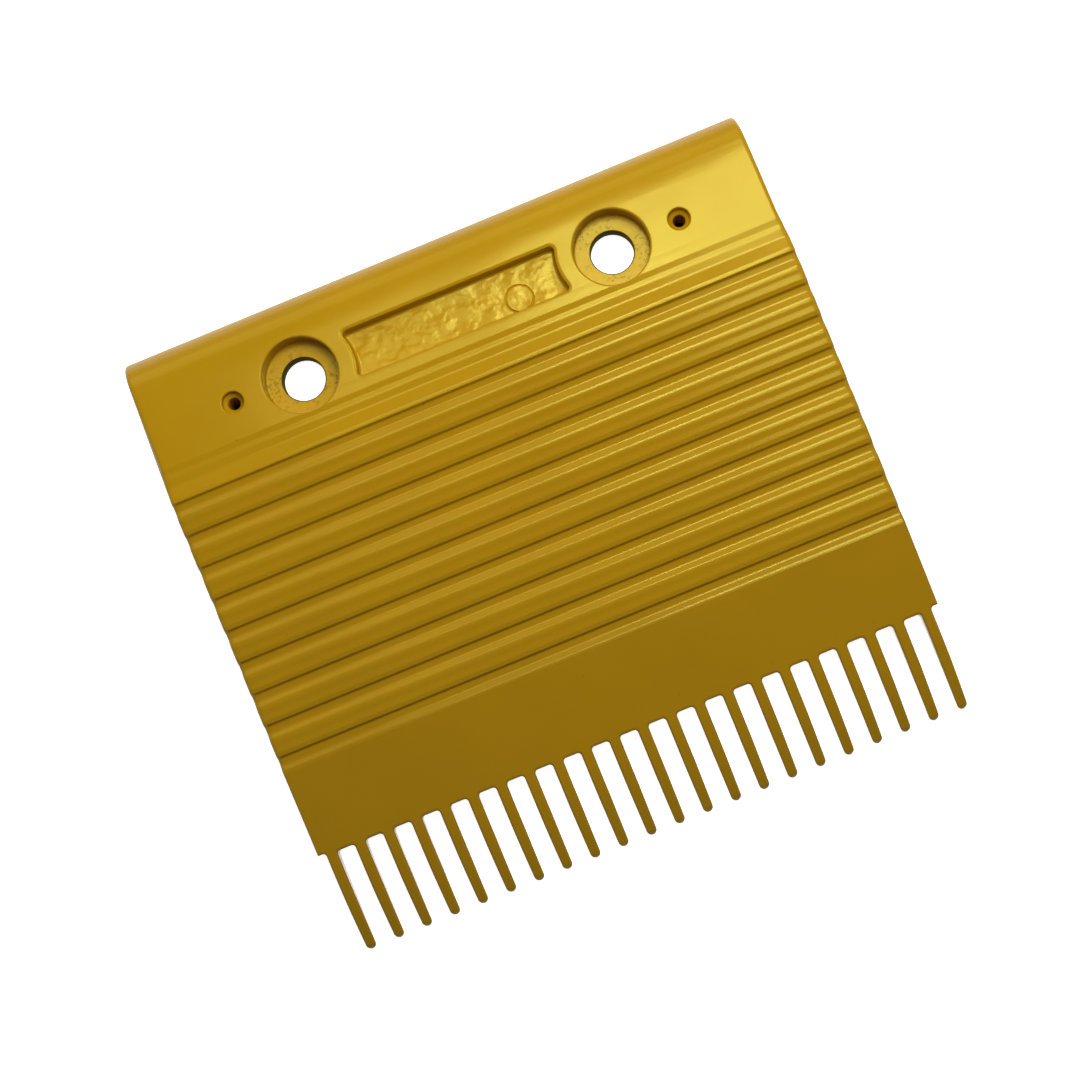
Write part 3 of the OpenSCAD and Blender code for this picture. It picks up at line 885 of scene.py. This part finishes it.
class Masks:
    """Where the coat differs: each mask is 1 inside its region and 0 outside it."""

    def __init__(self, tree, place, holes):
        x, y, z = split(place)
        across = abs(x)
        from_screw = across - holes.screw_spacing / 2
        reach = x.math("SQRT", from_screw * from_screw + y * y)
        wide, floor = holes.counterbore / 2, LAND_TOP - holes.counterbore_depth
        sunk = 1 - ramp(tree, z, LAND_TOP - SUNK_DEPTHS[0], LAND_TOP - SUNK_DEPTHS[1])
        self.well = (1 - ramp(tree, reach, wide + WELL_EDGE[0], wide + WELL_EDGE[1])) * sunk
        self.floor = (z < floor + NEAR_WALL) * self.well
        self.bore = self.well * (reach < holes.screw_hole / 2 + BORE_EDGE)
        self.panel = sunk * (1 - self.well) * (across < PANEL_MASK[0]) * (abs(y) < PANEL_MASK[1])
        ring = (z < LAND_TOP - UNDER_RIM_DEPTHS[0]) * (z > LAND_TOP - UNDER_RIM_DEPTHS[1])
        self.under_rim = self.well * ring * (reach > wide - NEAR_WALL)
        self.nose = ramp(tree, y, REAR_Y - NOSE_EDGE[0], REAR_Y - NOSE_EDGE[1])
        # Painted shade: 1 from the first riser forwards and again from the toe's seam, where the coat is
        # darkened as the light falls off
        self.painted_falloff = [1 - ramp(tree, y, REAR_Y - start - PAINTED_FALLOFF_EDGE, REAR_Y - start + PAINTED_FALLOFF_EDGE)
                     for start in (PAINTED_FALLOFF_START, TOE_SEAM)]


def coat_colour(tree, place, masks, colours):
    """Clouded paint, thin and speckled in the counterbores with darker patches under their rims, near black
    in the bores as bare metal and painted shade, and darkened on the tread and the toe as painted shade.
    """
    # How far each layer covers what is under it, and the brightness of the clouds
    thin, speckled, rim_patches, bare_and_shade, pitted, clouded = 0.75, 0.7, 0.6, 0.9, 0.5, 0.95
    pits_per_metre = 110.0
    cloud = ramp(tree, noise(tree, place, "cloud"), *RISES["cloud"])
    patches = ramp(tree, noise(tree, place, "patches"), *RISES["patches"])
    specks = ramp(tree, noise(tree, place, "specks"), *RISES["specks"])
    cells = node(tree, "ShaderNodeTexVoronoi", {}, {"Vector": place, "Scale": pits_per_metre})
    pits = 1 - ramp(tree, cells, *RISES["pits"])
    layers = (
        (masks.floor * thin, colours.thin),
        (specks * patches * masks.floor * speckled, colours.grime),
        # Darker patches in a band just under the counterbores' rims
        (masks.under_rim * patches * rim_patches, colours.grime),
        # The bores: bare metal, darkened to near black as painted shade
        (masks.bore * bare_and_shade, colours.bare_and_shade),
    )
    colour = blend(tree, cloud, rgba(colours.paint), rgba(colours.paint, clouded))
    for mask, over in layers:
        colour = blend(tree, mask, colour, rgba(over))
    # Painted shade: the tread darker, and the toe darker again, as the light falls off towards the front
    for mask in masks.painted_falloff:
        colour = blend(tree, mask, colour, PAINTED_FALLOFF, "MULTIPLY")
    return blend(tree, pits * pitted, colour, rgba(colours.grime))


def coat_height(tree, place, masks):
    """Bumps in mm: orange peel and runs, lumps in the panel and the counterbores, grit on their floors."""
    # How high each kind of bump is
    peel, runs, wave, panel, well, grit = 0.008, 0.045, 0.06, 0.5, 0.1, 0.05
    drawn = node(tree, "ShaderNodeVectorMath", {"operation": "MULTIPLY"}, (place, DRAWN_OUT))
    coat = noise(tree, place, "peel") * peel + noise(tree, drawn, "runs") * runs
    coat = coat + noise(tree, drawn, "wave") * wave
    cast = noise(tree, place, "lumps") * (masks.panel * panel + masks.well * well)
    return coat + cast + noise(tree, place, "grit") * (masks.floor * grit)


def coat_roughness(tree, place, masks):
    """Glossy, duller on the counterbores' floors and the nose, and dull on bare metal."""
    # The coat's own roughness, and what is added where
    coat, uneven, floor, bare_and_shade, nose = 0.16, 0.04, 0.08, 0.8, 0.25
    rough = coat + uneven * noise(tree, place, "gloss") + floor * masks.floor
    return rough + bare_and_shade * masks.bore + nose * masks.nose


def paint_material(colours, holes):
    """Glossy yellow powder coat with a slight orange peel, thin and speckled on the bored floors."""
    name = "yellow_powder_coat"
    if name in bpy.data.materials:
        return bpy.data.materials[name]
    material = bpy.data.materials.new(name)
    tree = cleared(material)
    place = node(tree, "ShaderNodeTexCoord", output="Object")
    masks = Masks(tree, place, holes)
    height = coat_height(tree, place, masks)
    bump = node(tree, "ShaderNodeBump", {}, {"Strength": 1.0, "Distance": 1 * MM, "Height": height})
    shader = node(tree, "ShaderNodeBsdfPrincipled", {}, {
        "Base Color": coat_colour(tree, place, masks, colours),
        "Roughness": coat_roughness(tree, place, masks),
        "Normal": bump,
        "Specular IOR Level": 0.35,
        "Specular Tint": (1, 0.98, 0.2, 1),
    })
    put_out(shader, "ShaderNodeOutputMaterial")
    return material


class COMB_OT_stage(bpy.types.Operator):
    """Add the white floor, the lamps and the camera"""
    bl_idname = "comb.add_stage"
    bl_label = "Add Photo Stage"

    def execute(self, context):
        add_floor(context)
        add_world(context)
        add_lamps(context)
        add_camera(context)
        return {"FINISHED"}


def shows_background(tree):
    """1 for the rays that show the background: from the camera, off a glossy surface or through glass."""
    rays = tree.nodes.new("ShaderNodeLightPath").outputs
    camera = Sock(tree, rays["Is Camera Ray"])
    glossy = Sock(tree, rays["Is Glossy Ray"])
    through = Sock(tree, rays["Is Transmission Ray"])
    return camera.math("MAXIMUM", camera, glossy.math("MAXIMUM", glossy, through))


def add_world(context):
    """A world that looks white and hardly lights the plate."""
    world = bpy.data.worlds.new("white_room")
    context.scene.world = world
    tree = cleared(world)
    strength = WORLD_LIGHT + (1 - WORLD_LIGHT) * shows_background(tree)
    shader = node(tree, "ShaderNodeBackground", {}, {"Color": WHITE, "Strength": strength})
    put_out(shader, "ShaderNodeOutputWorld")


def floor_material(holes):
    """White that glows where the background shows, and a painted shadow: black discs where the pin pads
    shut the floor in.
    """
    glow_level, painted_shadow_radius = 0.95, 6 * MM
    material = bpy.data.materials.new("white_floor")
    tree = cleared(material)
    x, y, _ = split(node(tree, "ShaderNodeTexCoord", output="Object"))
    # Painted shadow: black discs on the floor under the pin holes, where only shade would be
    across, along = abs(x) - holes.pin_spacing / 2, y + REAR_Y
    painted_shadow = (across * across + along * along) < painted_shadow_radius ** 2
    strength = shows_background(tree) * glow_level
    shade = node(tree, "ShaderNodeBsdfDiffuse", {}, {"Color": GREY})
    glow = node(tree, "ShaderNodeEmission", {}, {"Color": WHITE, "Strength": strength})
    painted_shadow_black = node(tree, "ShaderNodeBsdfDiffuse", {}, {"Color": BLACK})
    white = node(tree, "ShaderNodeAddShader", {}, (shade, glow))
    put_out(node(tree, "ShaderNodeMixShader", {}, (painted_shadow, white, painted_shadow_black)), "ShaderNodeOutputMaterial")
    return material


def add_floor(context):
    """A white floor just under the rear edge and the tips, where the plate would rest on it."""
    width, gap = 6, 0.3 * MM
    tilt = math.atan2(-TOOTH[0].z, TIP)
    bpy.ops.object.select_all(action="DESELECT")
    bpy.ops.mesh.primitive_plane_add(size=width, location=(0, REAR_Y, -gap), rotation=(tilt, 0, 0))
    floor = bpy.context.object
    floor.name = floor.data.name = "floor"
    floor.data.materials.append(floor_material(context.scene.comb_holes))


def lamp(context, name, place, width, height, brightness):
    """A soft rectangular lamp that faces the plate, with the same brightness at any size."""
    data = bpy.data.lights.new(name, "AREA")
    data.shape, data.size, data.size_y = "RECTANGLE", width, height
    data.energy = math.pi * brightness * width * height
    made = bpy.data.objects.new(name, data)
    context.scene.collection.objects.link(made)
    made.location = place
    made.rotation_euler = (LAMPS_AIM - made.location).to_track_quat("-Z", "Y").to_euler()


def add_lamps(context):
    """A long key lamp overhead on the right with weaker ones round it, and faint ones behind and beside."""
    for name, (place, width, height, brightness) in LAMPS.items():
        lamp(context, name, place, width, height, brightness)


def add_camera(context):
    """The photograph's camera: nearly straight down on the plate and turned."""
    data = bpy.data.cameras.new("camera")
    data.sensor_width, data.lens, data.clip_start = SENSOR, LENS, NEAREST
    camera = bpy.data.objects.new("camera", data)
    context.scene.collection.objects.link(camera)
    back = (CAMERA_PLACE - CAMERA_TARGET).normalized()
    up = Vector((0, 1, 0)) - back * back.y
    up.normalize()
    right = up.cross(back)
    turn = Matrix.Rotation(math.radians(-CAMERA_ROLL), 3, back)
    axes = Matrix((turn @ right, turn @ up, back)).transposed().to_4x4()
    camera.matrix_world = Matrix.Translation(CAMERA_PLACE) @ axes
    context.scene.camera = camera


class COMB_PT_panel(bpy.types.Panel):
    """The comb plate's sizes, colours and pieces"""
    bl_idname = "COMB_PT_panel"
    bl_label = "Comb Plate"
    bl_space_type = "VIEW_3D"
    bl_region_type = "UI"
    bl_category = "Comb Plate"

    def draw(self, context):
        for operator in OPERATORS:
            self.layout.operator(operator.bl_idname)
        for group in holds(context):
            box = self.layout.box()
            for name in group.__annotations__:
                box.prop(group, name)


OPERATORS = (COMB_OT_deck, COMB_OT_teeth, COMB_OT_stage)
GROUPS = {
    "comb_deck": DeckSizes,
    "comb_holes": HoleSizes,
    "comb_teeth": CombSizes,
    "comb_paint": PaintColours,
}
CLASSES = (*GROUPS.values(), *OPERATORS, COMB_PT_panel)


def register():
    """Adds the sizes, the colours, the operators and the panel to Blender."""
    for cls in CLASSES:
        bpy.utils.register_class(cls)
    for name, group in GROUPS.items():
        setattr(bpy.types.Scene, name, PointerProperty(type=group))


def unregister():
    """Takes them out of Blender again."""
    for name in GROUPS:
        delattr(bpy.types.Scene, name)
    for cls in reversed(CLASSES):
        bpy.utils.unregister_class(cls)


def main():
    """Builds the comb plate and its stage."""
    register()
    bpy.context.scene.view_settings.view_transform = "Standard"
    bpy.ops.comb.add_deck()
    bpy.ops.comb.add_teeth()
    bpy.ops.comb.add_stage()


if __name__ == "__main__":
    main()
